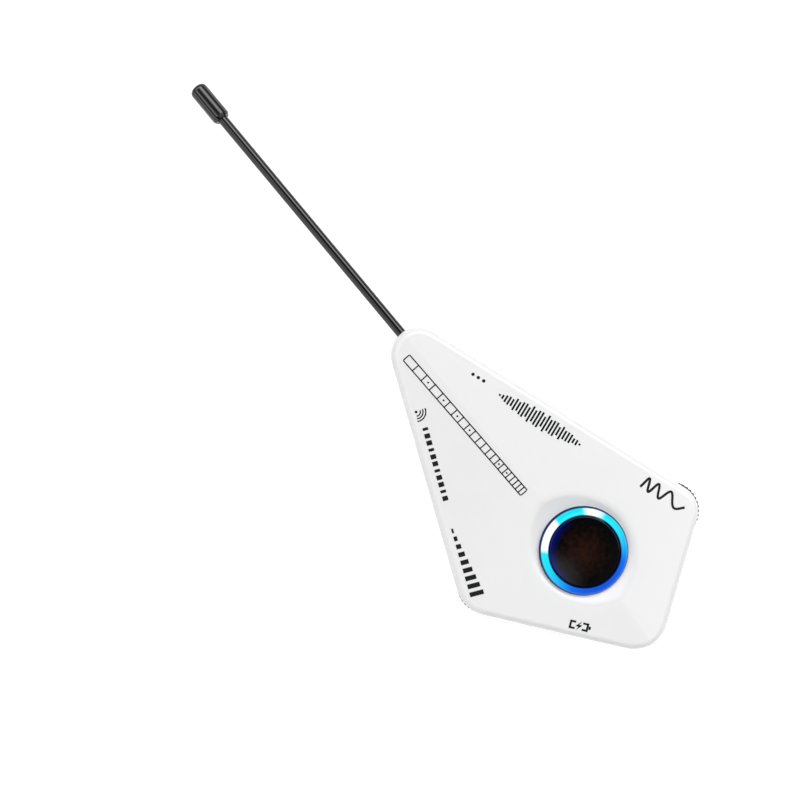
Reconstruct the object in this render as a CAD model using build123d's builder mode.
from build123d import *
import os
from math import asin, atan2, cos, hypot, radians, sin

# Wireless guitar transmitter: a low kite-shaped case that sticks to the guitar's body.
# A whip antenna leaves its long corner, a power button with a light ring sits on the ridge of
# its roof, and a volume wheel and a tone wheel show at its two side corners.
#
# Frame, millimetres: the origin is on the stick-on face, under the button's axis.
# +Z points away from the guitar, +Y runs along the ridge to the antenna's tip,
# and +X points to the tone wheel.

os.makedirs("parts", exist_ok=True)

# ---------------------------------------------------------------- driving dimensions
# Plan of the case: a kite with rounded corners, given by its sharp corners.
ANTENNA_CORNER = (0.7, 79.8)
VOLUME_CORNER = (-31.4, 7.0)
BASE_CORNER = (-2.4, -30.85)
TONE_CORNER = (30.3, -9.6)
ANTENNA_CORNER_R = 6.8
VOLUME_CORNER_R = 8.6
BASE_CORNER_R = 8.4
TONE_CORNER_R = 6.4

# Heights of the case and its roof: two flanks that fall away from a slightly crowned ridge.
# The roof turns through LONG_SWEEP and SHORT_SWEEP degrees, which reach past both its ends.
PAD_THICKNESS = 0.9
FLOOR_THICKNESS = 1.6
SEAM_Z = 6.3
RIDGE_Z = 14.0
CROWN_Y = 20.0
CROWN_RADIUS = 700.0
LONG_SWEEP = 8.0
SHORT_SWEEP = 4.5
ROOF_REACH = 45.0
RIDGE_R = 2.5
ROOF_FALL = 0.12
ROOF_THICKNESS = 1.8
WALL = 1.8
TOP_EDGE_R = 2.0
BOTTOM_EDGE_R = 0.8
SEAM_GROOVE = 0.15
RECESS_EDGE_R = 3.0
TONGUE_INSET = 1.1
TONGUE_HEIGHT = 0.9
TONGUE_GAP = 0.1

# Button and light ring.
RECESS_FLOOR_Z = 11.6
RECESS_FLOOR_R = 10.9
RECESS_RISE = 0.5
RING_OUTER_R = 10.7
RING_INNER_R = 8.6
RING_TOP_Z = 13.6
RING_EDGE_HEIGHT = 0.2
RING_CROWN_R = 2.6
RING_SKIRT_R = 9.85
RING_SKIRT_Z = 8.6
RING_HOLE_R = 10.0
BUTTON_R = 8.4
BUTTON_RIM_Z = 13.35
BUTTON_CROWN_Z = 13.65
BUTTON_PLATE_Z = 11.7
BUTTON_SKIRT_Z = 7.9
BUTTON_SKIRT_R = 7.2

# Main board and what stands on it.
BOARD_BOTTOM_Z = 3.6
BOARD_THICKNESS = 1.0
BOARD_INSET = 2.6
BOARD_END_Y = 55.5
CELL_SIZE = (20.0, 30.0, 5.0)
CELL_CENTRE = (-0.6, 31.5)
CELL_TAPE_THICKNESS = 0.3

# Thumbwheels.
WHEEL_R = 7.0
VOLUME_WHEEL_PROUD = 0.25
TONE_WHEEL_PROUD = 0.5
WHEEL_BOTTOM_Z = 4.95
WHEEL_THICKNESS = 2.6
WHEEL_GAP = 0.35
WHEEL_FLUTES = 40
FLUTE_R = 0.35
POT_R = 4.6
POT_HEIGHT = 1.35
ROTOR_R = 1.5

# Antenna.
ANTENNA_X = 0.0
ROD_R = 1.25
CORE_R = 0.5
CAP_R = 2.2
ANTENNA_TIP_Y = 145.7
CAP_LENGTH = 9.9
ANTENNA_BASE_Y = 57.0
ANTENNA_BASE_END_Y = 65.2
ANTENNA_BASE_R = 2.2

# Charging socket, on the wall between the volume corner and the base corner.
USB_ALONG_WALL = 27.5
USB_WIDTH = 8.94
USB_HEIGHT = 3.26
USB_SHELL = 0.3
USB_LENGTH = 7.3
USB_SETBACK = 0.4

# Fasteners.
CASE_SCREW_SPOTS = [(0.0, 50.0), (-18.0, 24.0), (13.8, 24.0), (-0.3, -19.5)]
POST_R = 2.8
BOARD_SCREW_SPOTS = [(-15.5, 31.0), (11.0, 31.5), (7.5, -18.0), (-12.5, 13.0)]
STANDOFF_R = 1.9

# ---------------------------------------------------------------- derived sizes
FLOOR_TOP_Z = PAD_THICKNESS + FLOOR_THICKNESS
BOARD_TOP_Z = BOARD_BOTTOM_Z + BOARD_THICKNESS
USB_CENTRE_Z = BOARD_TOP_Z + USB_HEIGHT / 2
CORNERS = [ANTENNA_CORNER, VOLUME_CORNER, BASE_CORNER, TONE_CORNER]
CORNER_RADII = [ANTENNA_CORNER_R, VOLUME_CORNER_R, BASE_CORNER_R, TONE_CORNER_R]

# What counts as touching, and where along an edge it is tried.
TOLERANCE = 0.01
EDGE_TRIES = (0.1, 0.5, 0.9)


def corner_arc(index):
    """Centre of a corner's arc, and the direction from it straight out of the corner."""
    corner = Vector(*CORNERS[index])
    to_previous = (Vector(*CORNERS[index - 1]) - corner).normalized()
    to_next = (Vector(*CORNERS[(index + 1) % len(CORNERS)]) - corner).normalized()
    inwards = (to_previous + to_next).normalized()
    half_angle = radians(to_previous.get_angle(to_next)) / 2
    return corner + inwards * (CORNER_RADII[index] / sin(half_angle)), inwards * -1


def wheel_centre(index, proud):
    """Axis of the thumbwheel whose rim stands proud at a corner of the case."""
    centre, outwards = corner_arc(index)
    shift = CORNER_RADII[index] - WHEEL_R + proud
    return centre + outwards * shift


VOLUME_AXIS = wheel_centre(1, VOLUME_WHEEL_PROUD)
TONE_AXIS = wheel_centre(3, TONE_WHEEL_PROUD)

wall_run = (Vector(*BASE_CORNER) - Vector(*VOLUME_CORNER)).normalized()
usb_out = Vector(wall_run.Y, -wall_run.X)
usb_point = Vector(*VOLUME_CORNER) + wall_run * USB_ALONG_WALL
USB_PLANE = Plane(
    origin=(usb_point.X, usb_point.Y, USB_CENTRE_Z),
    x_dir=(wall_run.X, wall_run.Y, 0),
    z_dir=(usb_out.X, usb_out.Y, 0),
)


def case_outline(inset):
    """The rounded kite, moved inwards by inset."""
    with BuildSketch() as outline:
        with BuildLine():
            FilletPolyline(*CORNERS, radius=CORNER_RADII, close=True)
        make_face()
        if inset:
            offset(amount=-inset)
    return outline.sketch


def case_volume(inset, drop):
    """Everything under the roof: the outline moved in by inset, with the roof lowered by drop.

    The roof's cross-section, two falling flanks with a softly rounded ridge, stands across the
    button's axis. It turns about one axis far below the case to make the long side of the roof,
    and about another for the short side, whose ridge runs on to the base corner.
    """
    eaves_z = RIDGE_Z - drop - ROOF_FALL * ROOF_REACH
    crown_z = RIDGE_Z - CROWN_RADIUS
    base_centre, base_out = corner_arc(2)
    base_tip = base_centre + base_out * BASE_CORNER_R
    bend = atan2(-base_tip.X, -base_tip.Y)
    tilt = asin(CROWN_Y / CROWN_RADIUS)
    upwards = Vector(0, -sin(tilt), cos(tilt))
    section_plane = Plane(
        origin=Vector(0, CROWN_Y, crown_z) - upwards * crown_z,
        x_dir=(1, 0, 0),
        z_dir=(0, -cos(tilt), -sin(tilt)),
    )
    with BuildPart() as volume:
        with BuildSketch(section_plane) as section:
            with BuildLine():
                FilletPolyline(
                    (-ROOF_REACH, eaves_z),
                    (0, RIDGE_Z - drop),
                    (ROOF_REACH, eaves_z),
                    radius=RIDGE_R,
                )
                Polyline(
                    (ROOF_REACH, eaves_z),
                    (ROOF_REACH, -ROOF_REACH),
                    (-ROOF_REACH, -ROOF_REACH),
                    (-ROOF_REACH, eaves_z),
                )
            make_face()
        revolve(section.sketch, axis=Axis((0, CROWN_Y, crown_z), (1, 0, 0)), revolution_arc=-LONG_SWEEP)
        short_axis = Axis(
            (CROWN_Y * sin(bend), CROWN_Y * cos(bend), crown_z), (cos(bend), -sin(bend), 0)
        )
        revolve(section.sketch, axis=short_axis, revolution_arc=SHORT_SWEEP)
        extrude(case_outline(inset), amount=RIDGE_Z, mode=Mode.INTERSECT)
    return volume.part


def top_edges(volume):
    """The loop of edges where the roof meets the side walls."""
    steepest = sin(radians(45))
    walls = volume.faces().filter_by(lambda face: abs(face.normal_at().Z) < TOLERANCE)
    upper = walls.edges().filter_by(lambda edge: edge.center().Z > SEAM_Z)
    return upper.filter_by(lambda edge: abs(edge.tangent_at(0.5).Z) < steepest)


# ---------------------------------------------------------------- shared cutters
# Both halves of the case are cut by the thumbwheel slots, the charging socket's opening
# and the antenna rod's hole, because all of these lie across the seam.
SLOT_CLEARANCE = 0.2
OPENING_CLEARANCE = 0.25
ROD_CLEARANCE = 0.05

with BuildPart() as openings:
    with BuildSketch(Plane.XY.offset(WHEEL_BOTTOM_Z - SLOT_CLEARANCE)):
        with Locations((VOLUME_AXIS.X, VOLUME_AXIS.Y), (TONE_AXIS.X, TONE_AXIS.Y)):
            Circle(WHEEL_R + WHEEL_GAP)
    extrude(amount=WHEEL_THICKNESS + 2 * SLOT_CLEARANCE)
    with BuildSketch(USB_PLANE):
        SlotOverall(USB_WIDTH + 2 * OPENING_CLEARANCE, USB_HEIGHT + 2 * OPENING_CLEARANCE)
    extrude(amount=WALL + USB_SETBACK, both=True)
    with BuildSketch(Plane.XZ.offset(-ANTENNA_BASE_END_Y)):
        with Locations((ANTENNA_X, SEAM_Z)):
            Circle(ROD_R + ROD_CLEARANCE)
    extrude(amount=-WALL * 3)

# Ribs that grip the antenna base in both halves, one each side of its collar.
RIB_SPOTS = [59.0, 63.6]
RIB_THICKNESS = 1.2
RIB_WIDTH = 8.0

with BuildPart() as antenna_ribs:
    with BuildSketch(Plane.XY.offset(FLOOR_TOP_Z - FLOOR_THICKNESS / 2)):
        with Locations(*[(ANTENNA_X, spot) for spot in RIB_SPOTS]):
            Rectangle(RIB_WIDTH, RIB_THICKNESS)
    extrude(amount=RIDGE_Z - FLOOR_TOP_Z)
    with BuildSketch(Plane.XZ.offset(-ANTENNA_BASE_Y)):
        with Locations((ANTENNA_X, SEAM_Z)):
            Circle(ANTENNA_BASE_R)
    extrude(amount=ANTENNA_BASE_Y - ANTENNA_BASE_END_Y, mode=Mode.SUBTRACT)

# ---------------------------------------------------------------- top cover
def is_recess_edge(edge):
    """True for an edge where the button's recess meets the roof."""
    on_cone = []
    for share in EDGE_TRIES:
        point = edge.position_at(share)
        cone_z = RECESS_FLOOR_Z + RECESS_RISE * (hypot(point.X, point.Y) - RECESS_FLOOR_R)
        on_cone.append(abs(point.Z - cone_z) < TOLERANCE and point.Z > RECESS_FLOOR_Z + RECESS_RISE)
    return all(on_cone)


INSERT_R = 1.6
INSERT_LENGTH = 3.0
PILOT_R = 1.1
PILOT_DEPTH = 3.5
TUB_THICKNESS = 1.5
TUB_REACH = 6.4

with BuildPart() as top_cavity:
    add(case_volume(WALL, ROOF_THICKNESS))
    with BuildSketch(Plane.XY):
        with Locations(*CASE_SCREW_SPOTS):
            Circle(POST_R)
    extrude(amount=RIDGE_Z, mode=Mode.SUBTRACT)
    add(antenna_ribs.part, mode=Mode.SUBTRACT)
    with BuildSketch(Plane.XZ):
        with BuildLine():
            tub_foot = RECESS_FLOOR_R + TUB_THICKNESS / 2
            tub_low = RECESS_FLOOR_Z - TUB_THICKNESS
            Polyline(
                (0, tub_low),
                (tub_foot, tub_low),
                (tub_foot + TUB_REACH, tub_low + RECESS_RISE * TUB_REACH),
                (tub_foot + TUB_REACH, RIDGE_Z + ROOF_THICKNESS),
                (0, RIDGE_Z + ROOF_THICKNESS),
                close=True,
            )
        make_face()
    revolve(axis=Axis.Z, mode=Mode.SUBTRACT)

with BuildPart() as top_cover:
    add(case_volume(0, 0))
    fillet(top_edges(top_cover), radius=TOP_EDGE_R)
    split(bisect_by=Plane.XY.offset(SEAM_Z), keep=Keep.TOP)
    chamfer(top_cover.faces().sort_by(Axis.Z)[0].edges(), length=SEAM_GROOVE)
    add(top_cavity.part, mode=Mode.SUBTRACT)
    with BuildSketch(Plane.XY.offset(SEAM_Z)):
        add(case_outline(TONGUE_INSET - TONGUE_GAP))
        add(case_outline(WALL), mode=Mode.SUBTRACT)
    extrude(amount=TONGUE_HEIGHT + TONGUE_GAP, mode=Mode.SUBTRACT)
    with BuildSketch(Plane.XZ):
        with BuildLine():
            Polyline(
                (0, RECESS_FLOOR_Z),
                (RECESS_FLOOR_R, RECESS_FLOOR_Z),
                (RECESS_FLOOR_R + TUB_REACH, RECESS_FLOOR_Z + RECESS_RISE * TUB_REACH),
                (0, RECESS_FLOOR_Z + RECESS_RISE * TUB_REACH),
                close=True,
            )
        make_face()
    revolve(axis=Axis.Z, mode=Mode.SUBTRACT)
    fillet(top_cover.edges().filter_by(is_recess_edge), radius=RECESS_EDGE_R)
    with BuildSketch(Plane.XY.offset(SEAM_Z)):
        Circle(RING_HOLE_R)
    extrude(amount=RIDGE_Z, mode=Mode.SUBTRACT)
    with BuildSketch(Plane.XY.offset(SEAM_Z)):
        with Locations(*CASE_SCREW_SPOTS):
            Circle(INSERT_R)
    extrude(amount=INSERT_LENGTH, mode=Mode.SUBTRACT)
    with BuildSketch(Plane.XY.offset(SEAM_Z)):
        with Locations(*CASE_SCREW_SPOTS):
            Circle(PILOT_R)
    extrude(amount=PILOT_DEPTH, mode=Mode.SUBTRACT)
    add(openings.part, mode=Mode.SUBTRACT)
top_cover.part.label = "top_cover"
export_step(top_cover.part, "parts/top_cover.step")

# ---------------------------------------------------------------- rear cover
SCREW_HOLE_R = 1.2
SCREW_HEAD_HOLE_R = 2.2
SCREW_HEAD_HOLE_DEPTH = 2.0
BOARD_SCREW_R = 0.8

with BuildPart() as rear_cover:
    with BuildSketch(Plane.XY.offset(PAD_THICKNESS)):
        add(case_outline(0))
    extrude(amount=SEAM_Z - PAD_THICKNESS)
    fillet(rear_cover.faces().sort_by(Axis.Z)[0].edges(), radius=BOTTOM_EDGE_R)
    chamfer(rear_cover.faces().sort_by(Axis.Z)[-1].edges(), length=SEAM_GROOVE)
    with BuildSketch(Plane.XY.offset(FLOOR_TOP_Z)):
        add(case_outline(WALL))
    extrude(amount=SEAM_Z - FLOOR_TOP_Z, mode=Mode.SUBTRACT)
    with BuildSketch(Plane.XY.offset(SEAM_Z)):
        add(case_outline(TONGUE_INSET))
        add(case_outline(WALL), mode=Mode.SUBTRACT)
    extrude(amount=TONGUE_HEIGHT)
    with BuildSketch(Plane.XY.offset(FLOOR_TOP_Z)):
        with Locations(*CASE_SCREW_SPOTS):
            Circle(POST_R)
    extrude(amount=SEAM_Z - FLOOR_TOP_Z)
    with BuildSketch(Plane.XY.offset(FLOOR_TOP_Z)):
        with Locations(*BOARD_SCREW_SPOTS):
            Circle(STANDOFF_R)
    extrude(amount=BOARD_BOTTOM_Z - FLOOR_TOP_Z)
    add(split(antenna_ribs.part, bisect_by=Plane.XY.offset(SEAM_Z), keep=Keep.BOTTOM, mode=Mode.PRIVATE))
    with BuildSketch(Plane.XY.offset(PAD_THICKNESS)):
        with Locations(*CASE_SCREW_SPOTS):
            Circle(SCREW_HOLE_R)
    extrude(amount=SEAM_Z, mode=Mode.SUBTRACT)
    with BuildSketch(Plane.XY.offset(PAD_THICKNESS)):
        with Locations(*CASE_SCREW_SPOTS):
            Circle(SCREW_HEAD_HOLE_R)
    extrude(amount=SCREW_HEAD_HOLE_DEPTH, mode=Mode.SUBTRACT)
    with BuildSketch(Plane.XY.offset(FLOOR_TOP_Z)):
        with Locations(*BOARD_SCREW_SPOTS):
            Circle(BOARD_SCREW_R)
    extrude(amount=BOARD_BOTTOM_Z - FLOOR_TOP_Z, mode=Mode.SUBTRACT)
    add(openings.part, mode=Mode.SUBTRACT)
rear_cover.part.label = "rear_cover"
export_step(rear_cover.part, "parts/rear_cover.step")

# ---------------------------------------------------------------- stick-on pad
PAD_INSET = 3.0
PAD_HOLE_R = 2.8

with BuildPart() as adhesive_pad:
    with BuildSketch(Plane.XY):
        add(case_outline(PAD_INSET))
        with Locations(*CASE_SCREW_SPOTS):
            Circle(PAD_HOLE_R, mode=Mode.SUBTRACT)
    extrude(amount=PAD_THICKNESS)
adhesive_pad.part.label = "adhesive_pad"
export_step(adhesive_pad.part, "parts/adhesive_pad.step")

# ---------------------------------------------------------------- light ring and its optics
RING_LAND = 0.4
RING_BREAK = 0.15

with BuildPart() as light_ring:
    with BuildSketch(Plane.XZ):
        with BuildLine():
            Polyline(
                (RING_INNER_R + RING_LAND, RING_TOP_Z),
                (RING_INNER_R + RING_BREAK, RING_TOP_Z),
                (RING_INNER_R, RING_TOP_Z - RING_BREAK),
                (RING_INNER_R, RING_SKIRT_Z),
                (RING_SKIRT_R, RING_SKIRT_Z),
                (RING_SKIRT_R, RECESS_FLOOR_Z),
                (RING_OUTER_R, RECESS_FLOOR_Z),
                (RING_OUTER_R, RECESS_FLOOR_Z + RING_EDGE_HEIGHT),
            )
            RadiusArc(
                (RING_OUTER_R, RECESS_FLOOR_Z + RING_EDGE_HEIGHT),
                (RING_INNER_R + RING_LAND, RING_TOP_Z),
                -RING_CROWN_R,
            )
        make_face()
    revolve(axis=Axis.Z)
light_ring.part.label = "light_ring"
export_step(light_ring.part, "parts/light_ring.step")

REFLECTOR_OUTER_R = 11.1
REFLECTOR_INNER_R = 7.5
REFLECTOR_WALL = 0.75
REFLECTOR_TOP_Z = 7.2
REFLECTOR_BASE = 0.8
LED_COUNT = 8
LED_CIRCLE_R = 9.3
LED_SIZE = (1.6, 0.8, 0.6)
LED_WINDOW_GAP = 0.2
LED_START_ANGLE = 22.5

with BuildPart() as ring_reflector:
    with BuildSketch(Plane.XY.offset(BOARD_TOP_Z)):
        Circle(REFLECTOR_OUTER_R)
        Circle(REFLECTOR_INNER_R, mode=Mode.SUBTRACT)
        with PolarLocations(LED_CIRCLE_R, LED_COUNT, start_angle=LED_START_ANGLE):
            Rectangle(
                LED_SIZE[1] + LED_WINDOW_GAP * 2, LED_SIZE[0] + LED_WINDOW_GAP * 2, mode=Mode.SUBTRACT
            )
    extrude(amount=REFLECTOR_BASE)
    with BuildSketch(Plane.XY.offset(BOARD_TOP_Z + REFLECTOR_BASE)):
        Circle(REFLECTOR_OUTER_R)
        Circle(REFLECTOR_OUTER_R - REFLECTOR_WALL, mode=Mode.SUBTRACT)
        Circle(REFLECTOR_INNER_R + REFLECTOR_WALL)
        Circle(REFLECTOR_INNER_R, mode=Mode.SUBTRACT)
    extrude(amount=REFLECTOR_TOP_Z - BOARD_TOP_Z - REFLECTOR_BASE)
ring_reflector.part.label = "ring_reflector"
export_step(ring_reflector.part, "parts/ring_reflector.step")

with BuildPart() as ring_leds:
    with BuildSketch(Plane.XY.offset(BOARD_TOP_Z)):
        with PolarLocations(LED_CIRCLE_R, LED_COUNT, start_angle=LED_START_ANGLE):
            Rectangle(LED_SIZE[1], LED_SIZE[0])
    extrude(amount=LED_SIZE[2])
ring_leds.part.label = "ring_leds"
export_step(ring_leds.part, "parts/ring_leds.step")

# ---------------------------------------------------------------- power button
HOOK_COUNT = 4
HOOK_WIDTH = 2.4
HOOK_TIP_R = 9.3
HOOK_THICKNESS = 0.5
BUTTON_EDGE_R = 0.3

with BuildPart() as button_cap:
    with BuildSketch(Plane.XZ):
        with BuildLine():
            ThreePointArc(
                (0, BUTTON_CROWN_Z),
                (BUTTON_R / 2, BUTTON_CROWN_Z - (BUTTON_CROWN_Z - BUTTON_RIM_Z) / 4),
                (BUTTON_R, BUTTON_RIM_Z),
            )
            Polyline(
                (BUTTON_R, BUTTON_RIM_Z),
                (BUTTON_R, BUTTON_SKIRT_Z),
                (BUTTON_SKIRT_R, BUTTON_SKIRT_Z),
                (BUTTON_SKIRT_R, BUTTON_PLATE_Z),
                (0, BUTTON_PLATE_Z),
                (0, BUTTON_CROWN_Z),
            )
        make_face()
    revolve(axis=Axis.Z)
    rims = button_cap.edges().filter_by(lambda edge: edge.is_closed)
    fillet(rims.sort_by(Axis.Z)[-1], radius=BUTTON_EDGE_R)
    with BuildSketch(Plane.XY.offset(BUTTON_SKIRT_Z)):
        with PolarLocations((BUTTON_SKIRT_R + HOOK_TIP_R) / 2, HOOK_COUNT):
            Rectangle(HOOK_TIP_R - BUTTON_SKIRT_R, HOOK_WIDTH)
    extrude(amount=HOOK_THICKNESS)
button_cap.part.label = "button_cap"
export_step(button_cap.part, "parts/button_cap.step")

# ---------------------------------------------------------------- tactile switch
SWITCH_SIDE = 6.0
SWITCH_CORNER_R = 0.4
SWITCH_BODY_HEIGHT = 3.1
SWITCH_CHAMBER_R = 2.15
SWITCH_CHAMBER_Z = BOARD_TOP_Z + 0.8
PLATE_THICKNESS = 0.25
PLATE_HOLE_R = 1.85
PLUNGER_R = 1.7
PLUNGER_FOOT_R = 2.0
PLUNGER_FOOT_Z = 6.1
PLUNGER_FOOT_HEIGHT = 1.4
DOME_R = 1.9
DOME_RISE = 0.5
DOME_THICKNESS = 0.12
DOME_ARC = 28.0

with BuildPart() as switch_body:
    with BuildSketch(Plane.XY.offset(BOARD_TOP_Z)):
        RectangleRounded(SWITCH_SIDE, SWITCH_SIDE, radius=SWITCH_CORNER_R)
    extrude(amount=SWITCH_BODY_HEIGHT)
    with BuildSketch(Plane.XY.offset(SWITCH_CHAMBER_Z)):
        Circle(SWITCH_CHAMBER_R)
    extrude(amount=SWITCH_BODY_HEIGHT, mode=Mode.SUBTRACT)
switch_body.part.label = "switch_body"
export_step(switch_body.part, "parts/switch_body.step")

with BuildPart() as switch_plate:
    with BuildSketch(Plane.XY.offset(BOARD_TOP_Z + SWITCH_BODY_HEIGHT)):
        RectangleRounded(SWITCH_SIDE, SWITCH_SIDE, radius=SWITCH_CORNER_R)
        Circle(PLATE_HOLE_R, mode=Mode.SUBTRACT)
    extrude(amount=PLATE_THICKNESS)
switch_plate.part.label = "switch_plate"
export_step(switch_plate.part, "parts/switch_plate.step")

with BuildPart() as switch_plunger:
    with BuildSketch(Plane.XY.offset(PLUNGER_FOOT_Z)):
        Circle(PLUNGER_FOOT_R)
    extrude(amount=PLUNGER_FOOT_HEIGHT)
    with BuildSketch(Plane.XY.offset(PLUNGER_FOOT_Z)):
        Circle(PLUNGER_R)
    extrude(amount=BUTTON_PLATE_Z - PLUNGER_FOOT_Z)
switch_plunger.part.label = "switch_plunger"
export_step(switch_plunger.part, "parts/switch_plunger.step")

with BuildPart() as switch_dome:
    with BuildSketch(Plane.XZ):
        with BuildLine():
            dome_top = SWITCH_CHAMBER_Z + DOME_RISE
            curve_r = (DOME_R**2 + DOME_RISE**2) / (2 * DOME_RISE)
            curve_z = dome_top - curve_r
            outer_curve = CenterArc((0, curve_z), curve_r + DOME_THICKNESS, 90, -DOME_ARC)
            inner_curve = CenterArc((0, curve_z), curve_r, 90, -DOME_ARC)
            Line(outer_curve @ 1, inner_curve @ 1)
            Line(outer_curve @ 0, inner_curve @ 0)
        make_face()
    revolve(axis=Axis.Z)
switch_dome.part.label = "switch_dome"
export_step(switch_dome.part, "parts/switch_dome.step")

# ---------------------------------------------------------------- main board
POST_HOLE_GAP = 0.3
BOARD_SCREW_GAP = 0.05
BOARD_CUT = 30.0

with BuildPart() as main_board:
    with BuildSketch(Plane.XY.offset(BOARD_BOTTOM_Z)):
        add(case_outline(BOARD_INSET))
        with Locations((0, BOARD_END_Y)):
            Rectangle(BOARD_CUT, BOARD_CUT, align=(Align.CENTER, Align.MIN), mode=Mode.SUBTRACT)
        with Locations(*CASE_SCREW_SPOTS):
            Circle(POST_R + POST_HOLE_GAP, mode=Mode.SUBTRACT)
        with Locations(*BOARD_SCREW_SPOTS):
            Circle(BOARD_SCREW_R + BOARD_SCREW_GAP, mode=Mode.SUBTRACT)
    extrude(amount=BOARD_THICKNESS)
main_board.part.label = "main_board"
export_step(main_board.part, "parts/main_board.step")

# Flat packages soldered on the board: name, centre, footprint and height.
CHIPS = [
    ("shield_can", (15.1, 10.0), (7.0, 11.0), 2.0),
    ("controller_chip", (-15.5, -2.5), (5.0, 5.0), 0.8),
    ("codec_chip", (9.5, -14.0), (4.0, 4.0), 0.8),
    ("charger_chip", (2.5, -14.0), (3.0, 3.0), 0.8),
    ("crystal", (-12.9, 3.2), (2.5, 3.2), 0.8),
    ("power_inductor", (-13.6, 18.2), (4.0, 4.0), 2.0),
]
CHIP_EDGE = 0.2

for name, centre, footprint, height in CHIPS:
    with BuildPart() as chip:
        with BuildSketch(Plane.XY.offset(BOARD_TOP_Z)):
            with Locations(centre):
                Rectangle(*footprint)
        extrude(amount=height)
        chamfer(chip.faces().sort_by(Axis.Z)[-1].edges(), length=CHIP_EDGE)
    chip.part.label = name
    export_step(chip.part, f"parts/{name}.step")

CAPACITOR_SIZE = (1.6, 0.8)
CAPACITOR_HEIGHT = 0.8
CAPACITOR_SPOTS = [(-12.6, 24.0 + 2.0 * step) for step in range(8)]
CAPACITOR_SPOTS += [(5.5, -14.0), (12.8, -14.0), (-18.9, -2.5), (-11.6, 6.6)]
RESISTOR_SIZE = (1.0, 0.5)
RESISTOR_HEIGHT = 0.4
RESISTOR_SPOTS = [(-15.1, 26.0 + 1.6 * step) for step in range(2)]
RESISTOR_SPOTS += [(10.9, 18.0 + 1.4 * step) for step in range(3)]
RESISTOR_SPOTS += [(4.9, -17.0), (10.8, -17.4), (-12.9, 9.2)]

with BuildPart() as board_capacitors:
    with BuildSketch(Plane.XY.offset(BOARD_TOP_Z)):
        with Locations(*CAPACITOR_SPOTS):
            Rectangle(*CAPACITOR_SIZE)
    extrude(amount=CAPACITOR_HEIGHT)
board_capacitors.part.label = "board_capacitors"
export_step(board_capacitors.part, "parts/board_capacitors.step")

with BuildPart() as board_resistors:
    with BuildSketch(Plane.XY.offset(BOARD_TOP_Z)):
        with Locations(*RESISTOR_SPOTS):
            Rectangle(*RESISTOR_SIZE)
    extrude(amount=RESISTOR_HEIGHT)
board_resistors.part.label = "board_resistors"
export_step(board_resistors.part, "parts/board_resistors.step")

# ---------------------------------------------------------------- battery
CELL_BOTTOM_Z = BOARD_TOP_Z + CELL_TAPE_THICKNESS
CELL_EDGE_R = 0.9
CELL_END_Y = CELL_CENTRE[1] + CELL_SIZE[1] / 2

with BuildPart() as battery_cell:
    with BuildSketch(Plane.XY.offset(CELL_BOTTOM_Z)):
        with Locations(CELL_CENTRE):
            RectangleRounded(CELL_SIZE[0], CELL_SIZE[1], radius=CELL_EDGE_R)
    extrude(amount=CELL_SIZE[2])
    fillet(battery_cell.edges().group_by(Axis.Z)[-1], radius=CELL_EDGE_R / 2)
battery_cell.part.label = "battery_cell"
export_step(battery_cell.part, "parts/battery_cell.step")

CELL_TAPE_MARGIN = 2.0

with BuildPart() as battery_tape:
    with BuildSketch(Plane.XY.offset(BOARD_TOP_Z)):
        with Locations(CELL_CENTRE):
            Rectangle(CELL_SIZE[0] - CELL_TAPE_MARGIN, CELL_SIZE[1] - CELL_TAPE_MARGIN)
    extrude(amount=CELL_TAPE_THICKNESS)
battery_tape.part.label = "battery_tape"
export_step(battery_tape.part, "parts/battery_tape.step")

SOCKET_CENTRE = (-6.3, 50.4)
SOCKET_SIZE = (4.4, 3.6)
SOCKET_HEIGHT = 2.0
SOCKET_WALL = 0.5
PLUG_HEIGHT = 2.2
PLUG_LIFT = 0.5

with BuildPart() as battery_socket:
    with BuildSketch(Plane.XY.offset(BOARD_TOP_Z)):
        with Locations(SOCKET_CENTRE):
            Rectangle(*SOCKET_SIZE)
    extrude(amount=SOCKET_HEIGHT)
    with BuildSketch(Plane.XY.offset(BOARD_TOP_Z + PLUG_LIFT)):
        with Locations(SOCKET_CENTRE):
            Rectangle(SOCKET_SIZE[0] - 2 * SOCKET_WALL, SOCKET_SIZE[1] - 2 * SOCKET_WALL)
    extrude(amount=SOCKET_HEIGHT, mode=Mode.SUBTRACT)
battery_socket.part.label = "battery_socket"
export_step(battery_socket.part, "parts/battery_socket.step")

PLUG_GAP = 0.05

with BuildPart() as battery_plug:
    with BuildSketch(Plane.XY.offset(BOARD_TOP_Z + PLUG_LIFT)):
        with Locations(SOCKET_CENTRE):
            Rectangle(
                SOCKET_SIZE[0] - 2 * SOCKET_WALL - 2 * PLUG_GAP,
                SOCKET_SIZE[1] - 2 * SOCKET_WALL - 2 * PLUG_GAP,
            )
    extrude(amount=PLUG_HEIGHT)
battery_plug.part.label = "battery_plug"
export_step(battery_plug.part, "parts/battery_plug.step")

LEAD_R = 0.4
LEAD_Z = 9.0
LEAD_BEND_R = 1.6
LEADS = [("battery_lead_positive", -7.2), ("battery_lead_negative", -5.4)]
PLUG_TOP_Z = BOARD_TOP_Z + PLUG_LIFT + PLUG_HEIGHT

for name, lead_x in LEADS:
    with BuildPart() as lead:
        with BuildLine() as lead_path:
            FilletPolyline(
                (lead_x, CELL_END_Y, LEAD_Z),
                (lead_x, SOCKET_CENTRE[1], LEAD_Z),
                (lead_x, SOCKET_CENTRE[1], PLUG_TOP_Z),
                radius=LEAD_BEND_R,
            )
        with BuildSketch(Plane.XZ.offset(-CELL_END_Y)):
            with Locations((lead_x, LEAD_Z)):
                Circle(LEAD_R)
        sweep()
    lead.part.label = name
    export_step(lead.part, f"parts/{name}.step")

# ---------------------------------------------------------------- charging socket
usb_mouth = USB_PLANE.offset(-USB_SETBACK)

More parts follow.
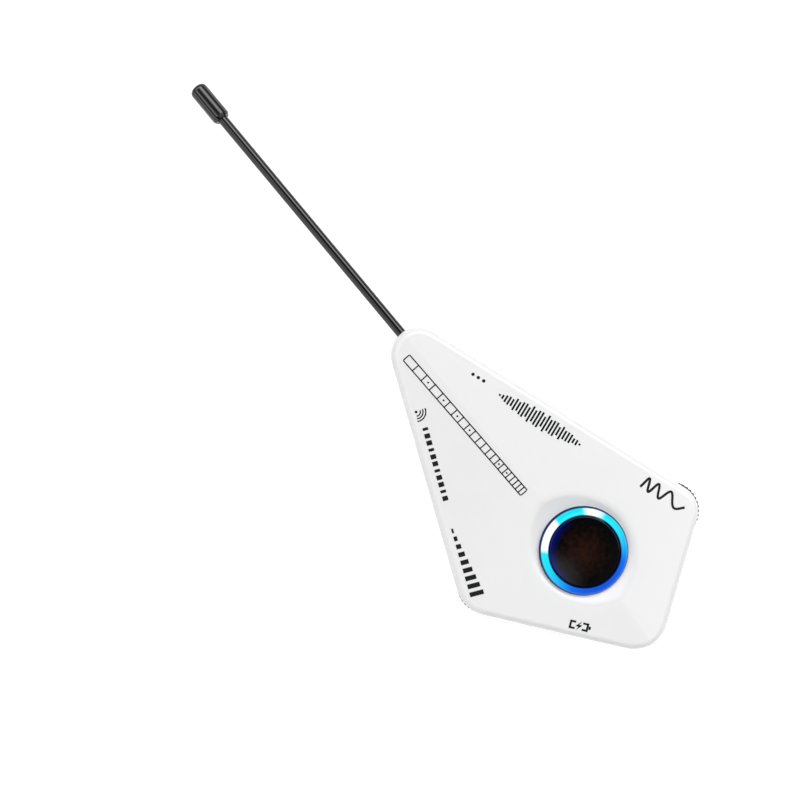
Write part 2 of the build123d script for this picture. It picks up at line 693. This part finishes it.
with BuildPart() as usb_shell:
    with BuildSketch(usb_mouth):
        SlotOverall(USB_WIDTH, USB_HEIGHT)
        SlotOverall(USB_WIDTH - 2 * USB_SHELL, USB_HEIGHT - 2 * USB_SHELL, mode=Mode.SUBTRACT)
    extrude(amount=-USB_LENGTH)
usb_shell.part.label = "usb_shell"
export_step(usb_shell.part, "parts/usb_shell.step")

USB_BLOCK_DEPTH = 1.8
USB_TONGUE_WIDTH = 6.69
USB_TONGUE_THICKNESS = 0.7
USB_TONGUE_SETBACK = 0.6
USB_FIT = 0.02

with BuildPart() as usb_tongue:
    with BuildSketch(usb_mouth.offset(USB_BLOCK_DEPTH - USB_LENGTH)):
        SlotOverall(
            USB_WIDTH - 2 * (USB_SHELL + USB_FIT), USB_HEIGHT - 2 * (USB_SHELL + USB_FIT)
        )
    extrude(amount=-USB_BLOCK_DEPTH)
    with BuildSketch(usb_mouth.offset(-USB_TONGUE_SETBACK)):
        Rectangle(USB_TONGUE_WIDTH, USB_TONGUE_THICKNESS)
    extrude(amount=-(USB_LENGTH - USB_TONGUE_SETBACK - USB_BLOCK_DEPTH / 2))
usb_tongue.part.label = "usb_tongue"
export_step(usb_tongue.part, "parts/usb_tongue.step")

# ---------------------------------------------------------------- thumbwheels and their pots
POT_FLOOR = 0.15
ROTOR_LIFT = 0.05
ROTOR_GAP = 0.06
WHEEL_POCKET_R = 5.0
WHEEL_POCKET_DEPTH = 1.25
ROTOR_TOP_Z = 6.95
WHEEL_SCREW_HEAD_R = 1.7
WHEEL_SCREW_HEAD_HEIGHT = 0.5
WHEEL_SCREW_POCKET_R = 2.0
WHEEL_SCREW_R = 0.6
WHEEL_SCREW_END_Z = 5.3
WHEEL_SCREW_SLOT = (2.4, 0.4)
WHEEL_SCREW_SLOT_DEPTH = 0.25

for control, axis in (("volume", VOLUME_AXIS), ("tone", TONE_AXIS)):
    spot = (axis.X, axis.Y)

    with BuildPart() as wheel:
        with BuildSketch(Plane.XY.offset(WHEEL_BOTTOM_Z)):
            with Locations(spot):
                Circle(WHEEL_R)
                with PolarLocations(WHEEL_R + FLUTE_R / 3, WHEEL_FLUTES):
                    Circle(FLUTE_R, mode=Mode.SUBTRACT)
        extrude(amount=WHEEL_THICKNESS)
        with BuildSketch(Plane.XY.offset(WHEEL_BOTTOM_Z)):
            with Locations(spot):
                Circle(WHEEL_POCKET_R)
        extrude(amount=WHEEL_POCKET_DEPTH, mode=Mode.SUBTRACT)
        with BuildSketch(Plane.XY.offset(WHEEL_BOTTOM_Z)):
            with Locations(spot):
                Circle(ROTOR_R)
        extrude(amount=WHEEL_THICKNESS, mode=Mode.SUBTRACT)
        with BuildSketch(Plane.XY.offset(ROTOR_TOP_Z)):
            with Locations(spot):
                Circle(WHEEL_SCREW_POCKET_R)
        extrude(amount=WHEEL_THICKNESS, mode=Mode.SUBTRACT)
    wheel.part.label = f"{control}_wheel"
    export_step(wheel.part, f"parts/{control}_wheel.step")

    with BuildPart() as rotor:
        with BuildSketch(Plane.XY.offset(BOARD_TOP_Z + POT_FLOOR + ROTOR_LIFT)):
            with Locations(spot):
                Circle(ROTOR_R)
        extrude(amount=ROTOR_TOP_Z - BOARD_TOP_Z - POT_FLOOR - ROTOR_LIFT)
        with BuildSketch(Plane.XY.offset(WHEEL_SCREW_END_Z)):
            with Locations(spot):
                Circle(WHEEL_SCREW_R)
        extrude(amount=WHEEL_THICKNESS, mode=Mode.SUBTRACT)
    rotor.part.label = f"{control}_rotor"
    export_step(rotor.part, f"parts/{control}_rotor.step")

    with BuildPart() as wheel_screw:
        with BuildSketch(Plane.XY.offset(WHEEL_SCREW_END_Z)):
            with Locations(spot):
                Circle(WHEEL_SCREW_R)
        extrude(amount=ROTOR_TOP_Z - WHEEL_SCREW_END_Z)
        with BuildSketch(Plane.XY.offset(ROTOR_TOP_Z)):
            with Locations(spot):
                Circle(WHEEL_SCREW_HEAD_R)
        extrude(amount=WHEEL_SCREW_HEAD_HEIGHT)
        with BuildSketch(Plane.XY.offset(ROTOR_TOP_Z + WHEEL_SCREW_HEAD_HEIGHT)):
            with Locations(spot):
                Rectangle(*WHEEL_SCREW_SLOT)
                Rectangle(*WHEEL_SCREW_SLOT, rotation=90)
        extrude(amount=-WHEEL_SCREW_SLOT_DEPTH, mode=Mode.SUBTRACT)
    wheel_screw.part.label = f"{control}_wheel_screw"
    export_step(wheel_screw.part, f"parts/{control}_wheel_screw.step")

    with BuildPart() as pot_body:
        with BuildSketch(Plane.XY.offset(BOARD_TOP_Z)):
            with Locations(spot):
                Circle(POT_R)
        extrude(amount=POT_HEIGHT)
        with BuildSketch(Plane.XY.offset(BOARD_TOP_Z + POT_FLOOR)):
            with Locations(spot):
                Circle(ROTOR_R + ROTOR_GAP)
        extrude(amount=POT_HEIGHT, mode=Mode.SUBTRACT)
    pot_body.part.label = f"{control}_pot"
    export_step(pot_body.part, f"parts/{control}_pot.step")

# ---------------------------------------------------------------- piezo pickup on the floor
PIEZO_CENTRE = (-1.0, 30.0)
PIEZO_PLATE_R = 10.0
PIEZO_PLATE_THICKNESS = 0.25
PIEZO_CERAMIC_R = 7.0
PIEZO_CERAMIC_THICKNESS = 0.2
PIEZO_LEAD_R = 0.2
PIEZO_LEAD_GAP = 0.05

with BuildPart() as piezo_plate:
    with BuildSketch(Plane.XY.offset(FLOOR_TOP_Z)):
        with Locations(PIEZO_CENTRE):
            Circle(PIEZO_PLATE_R)
    extrude(amount=PIEZO_PLATE_THICKNESS)
piezo_plate.part.label = "piezo_plate"
export_step(piezo_plate.part, "parts/piezo_plate.step")

PIEZO_TOP_Z = FLOOR_TOP_Z + PIEZO_PLATE_THICKNESS + PIEZO_CERAMIC_THICKNESS

with BuildPart() as piezo_ceramic:
    with BuildSketch(Plane.XY.offset(FLOOR_TOP_Z + PIEZO_PLATE_THICKNESS)):
        with Locations(PIEZO_CENTRE):
            Circle(PIEZO_CERAMIC_R)
    extrude(amount=PIEZO_CERAMIC_THICKNESS)
piezo_ceramic.part.label = "piezo_ceramic"
export_step(piezo_ceramic.part, "parts/piezo_ceramic.step")

# Leads lie between the floor and the board: name and the points of the route in plan.
PIEZO_LEADS = [
    ("piezo_lead_signal", [(1.0, 33.0), (6.5, 37.5), (6.5, 44.5)]),
    ("piezo_lead_ground", [(5.2, 22.8), (9.0, 19.0), (9.0, 13.0)]),
]
PIEZO_LEAD_Z = PIEZO_TOP_Z + PIEZO_LEAD_R + PIEZO_LEAD_GAP
PIEZO_LEAD_BEND_R = 3.0

for name, route in PIEZO_LEADS:
    with BuildPart() as lead:
        with BuildLine(Plane.XY.offset(PIEZO_LEAD_Z)) as lead_path:
            FilletPolyline(*route, radius=PIEZO_LEAD_BEND_R)
        with BuildSketch(Plane(origin=lead_path.line @ 0, z_dir=lead_path.line % 0)):
            Circle(PIEZO_LEAD_R)
        sweep()
    lead.part.label = name
    export_step(lead.part, f"parts/{name}.step")

# ---------------------------------------------------------------- antenna
CAP_TOP_R = 1.1
CAP_TAPER_LENGTH = 0.7
CAP_TAPER = 0.4
CAP_START_Y = ANTENNA_TIP_Y - CAP_LENGTH
ROD_START_Y = 60.4
ROD_IN_CAP = 4.0
ROD_END_Y = CAP_START_Y + ROD_IN_CAP
CORE_SETBACK = 0.6
CORE_PAST_ROD = 3.5
CORE_START_Y = ANTENNA_BASE_Y + CORE_SETBACK
CORE_END_Y = ROD_END_Y + CORE_PAST_ROD
BASE_COLLAR_R = 2.8
BASE_COLLAR_Y = 61.3
BASE_COLLAR_LENGTH = 1.6


def antenna_plane(y):
    """Plane across the antenna at y, facing the tip."""
    return Plane(origin=(ANTENNA_X, y, SEAM_Z), x_dir=(1, 0, 0), z_dir=(0, 1, 0))


with BuildPart() as antenna_rod:
    with BuildSketch(antenna_plane(ROD_START_Y)):
        Circle(ROD_R)
        Circle(CORE_R, mode=Mode.SUBTRACT)
    extrude(amount=ROD_END_Y - ROD_START_Y)
antenna_rod.part.label = "antenna_rod"
export_step(antenna_rod.part, "parts/antenna_rod.step")

with BuildPart() as antenna_core:
    with BuildSketch(antenna_plane(CORE_START_Y)):
        Circle(CORE_R)
    extrude(amount=CORE_END_Y - CORE_START_Y)
antenna_core.part.label = "antenna_core"
export_step(antenna_core.part, "parts/antenna_core.step")

with BuildPart() as antenna_cap:
    with BuildSketch(antenna_plane(CAP_START_Y)):
        Circle(CAP_R)
    extrude(amount=CAP_LENGTH)
    cap_ends = antenna_cap.edges().filter_by(GeomType.CIRCLE).sort_by(Axis.Y)
    fillet(cap_ends[-1], radius=CAP_TOP_R)
    chamfer(cap_ends[0], length=CAP_TAPER_LENGTH, length2=CAP_TAPER)
    with BuildSketch(antenna_plane(CAP_START_Y)):
        Circle(ROD_R)
    extrude(amount=ROD_END_Y - CAP_START_Y, mode=Mode.SUBTRACT)
    with BuildSketch(antenna_plane(CAP_START_Y)):
        Circle(CORE_R)
    extrude(amount=CORE_END_Y - CAP_START_Y, mode=Mode.SUBTRACT)
antenna_cap.part.label = "antenna_cap"
export_step(antenna_cap.part, "parts/antenna_cap.step")

with BuildPart() as antenna_base:
    with BuildSketch(antenna_plane(ANTENNA_BASE_Y)):
        Circle(ANTENNA_BASE_R)
    extrude(amount=ANTENNA_BASE_END_Y - ANTENNA_BASE_Y)
    with BuildSketch(antenna_plane(BASE_COLLAR_Y - BASE_COLLAR_LENGTH / 2)):
        Circle(BASE_COLLAR_R)
    extrude(amount=BASE_COLLAR_LENGTH)
    with BuildSketch(antenna_plane(ROD_START_Y)):
        Circle(ROD_R)
    extrude(amount=ANTENNA_BASE_END_Y - ROD_START_Y, mode=Mode.SUBTRACT)
    with BuildSketch(antenna_plane(CORE_START_Y)):
        Circle(CORE_R)
    extrude(amount=ROD_START_Y - CORE_START_Y, mode=Mode.SUBTRACT)
antenna_base.part.label = "antenna_base"
export_step(antenna_base.part, "parts/antenna_base.step")

CONTACT_THICKNESS = 0.3
CONTACT_WIDTH = 2.4
CONTACT_FOOT_Y = 53.5

with BuildPart() as antenna_contact:
    with BuildSketch(Plane.YZ.offset(ANTENNA_X - CONTACT_WIDTH / 2)):
        with BuildLine():
            spring_z = BOARD_TOP_Z + CONTACT_THICKNESS
            Polyline(
                (CONTACT_FOOT_Y, BOARD_TOP_Z),
                (BOARD_END_Y - CONTACT_THICKNESS, BOARD_TOP_Z),
                (ANTENNA_BASE_Y, SEAM_Z - CONTACT_THICKNESS),
                (ANTENNA_BASE_Y, SEAM_Z + CONTACT_THICKNESS),
                (ANTENNA_BASE_Y - CONTACT_THICKNESS, SEAM_Z + CONTACT_THICKNESS),
                (ANTENNA_BASE_Y - CONTACT_THICKNESS, SEAM_Z - CONTACT_THICKNESS),
                (BOARD_END_Y - 2 * CONTACT_THICKNESS, spring_z),
                (CONTACT_FOOT_Y, spring_z),
                close=True,
            )
        make_face()
    extrude(amount=CONTACT_WIDTH)
antenna_contact.part.label = "antenna_contact"
export_step(antenna_contact.part, "parts/antenna_contact.step")

# ---------------------------------------------------------------- fasteners
CASE_SCREW_R = 1.0
CASE_SCREW_HEAD_R = 1.9
CASE_SCREW_HEAD_HEIGHT = 1.3
CASE_SCREW_SEAT_Z = PAD_THICKNESS + SCREW_HEAD_HOLE_DEPTH
CASE_SCREW_END_GAP = 0.3
CASE_SCREW_END_Z = SEAM_Z + INSERT_LENGTH - CASE_SCREW_END_GAP
CROSS_SLOT = (2.2, 0.5)
CROSS_DEPTH = 0.7

with BuildPart() as case_screws:
    with BuildSketch(Plane.XY.offset(CASE_SCREW_SEAT_Z)):
        with Locations(*CASE_SCREW_SPOTS):
            Circle(CASE_SCREW_HEAD_R)
    extrude(amount=-CASE_SCREW_HEAD_HEIGHT)
    with BuildSketch(Plane.XY.offset(CASE_SCREW_SEAT_Z)):
        with Locations(*CASE_SCREW_SPOTS):
            Circle(CASE_SCREW_R)
    extrude(amount=CASE_SCREW_END_Z - CASE_SCREW_SEAT_Z)
    with BuildSketch(Plane.XY.offset(CASE_SCREW_SEAT_Z - CASE_SCREW_HEAD_HEIGHT)):
        with Locations(*CASE_SCREW_SPOTS):
            Rectangle(*CROSS_SLOT)
            Rectangle(*CROSS_SLOT, rotation=90)
    extrude(amount=CROSS_DEPTH, mode=Mode.SUBTRACT)
case_screws.part.label = "case_screws"
export_step(case_screws.part, "parts/case_screws.step")

with BuildPart() as case_inserts:
    with BuildSketch(Plane.XY.offset(SEAM_Z)):
        with Locations(*CASE_SCREW_SPOTS):
            Circle(INSERT_R)
            Circle(CASE_SCREW_R, mode=Mode.SUBTRACT)
    extrude(amount=INSERT_LENGTH)
case_inserts.part.label = "case_inserts"
export_step(case_inserts.part, "parts/case_inserts.step")

BOARD_SCREW_HEAD_R = 1.4
BOARD_SCREW_HEAD_HEIGHT = 0.9

with BuildPart() as board_screws:
    with BuildSketch(Plane.XY.offset(BOARD_TOP_Z)):
        with Locations(*BOARD_SCREW_SPOTS):
            Circle(BOARD_SCREW_HEAD_R)
    extrude(amount=BOARD_SCREW_HEAD_HEIGHT)
    with BuildSketch(Plane.XY.offset(FLOOR_TOP_Z)):
        with Locations(*BOARD_SCREW_SPOTS):
            Circle(BOARD_SCREW_R)
    extrude(amount=BOARD_TOP_Z - FLOOR_TOP_Z)
board_screws.part.label = "board_screws"
export_step(board_screws.part, "parts/board_screws.step")
